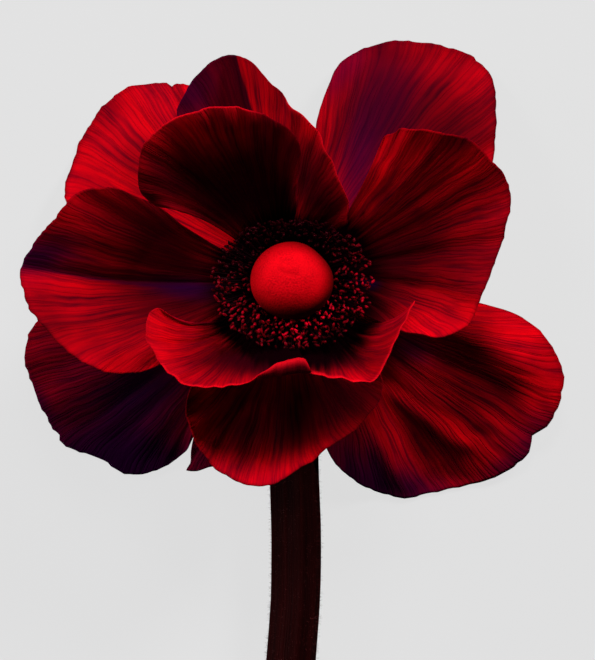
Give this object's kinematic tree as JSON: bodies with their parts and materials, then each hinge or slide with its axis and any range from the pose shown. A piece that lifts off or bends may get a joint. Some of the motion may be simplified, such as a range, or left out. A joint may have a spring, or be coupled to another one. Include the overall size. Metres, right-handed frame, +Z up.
{
  "type": "anemone flower",
  "caption": "Open red anemone bloom with broad overlapping tepals, a ring of dark stamens and a domed centre, on a short bent cut stem that lies flat.",
  "frame": {"origin": "under the middle of the whole flower's box, on the surface that it lies on", "axes": "+Z up, out of the bloom's face; +Y from the stem's cut end toward the bloom"},
  "size_m": [0.0908, 0.1444, 0.0431],
  "materials": {
    "tepal": "fresh petal, matt and velvety with fine veins",
    "carpel_head": "velvety",
    "stamens": "dark, with redder anthers",
    "stem": "fresh stem, dark red-brown, faintly ridged with fine hairs"
  },
  "bodies": {
    "root": {"stem": "stem", "carpel_head": "carpel_head", "stamens": "stamens", "tepal_outer_upper_left": "tepal", "tepal_outer_upper_right": "tepal", "tepal_outer_lower_right": "tepal", "tepal_outer_lower_left": "tepal", "tepal_outer_bottom": "tepal", "tepal_middle_top": "tepal", "tepal_middle_left": "tepal", "tepal_middle_right": "tepal", "tepal_middle_bottom": "tepal", "tepal_inner_top": "tepal", "tepal_inner_lower_left": "tepal", "tepal_inner_lower_right": "tepal"}
  },
  "joints": []
}
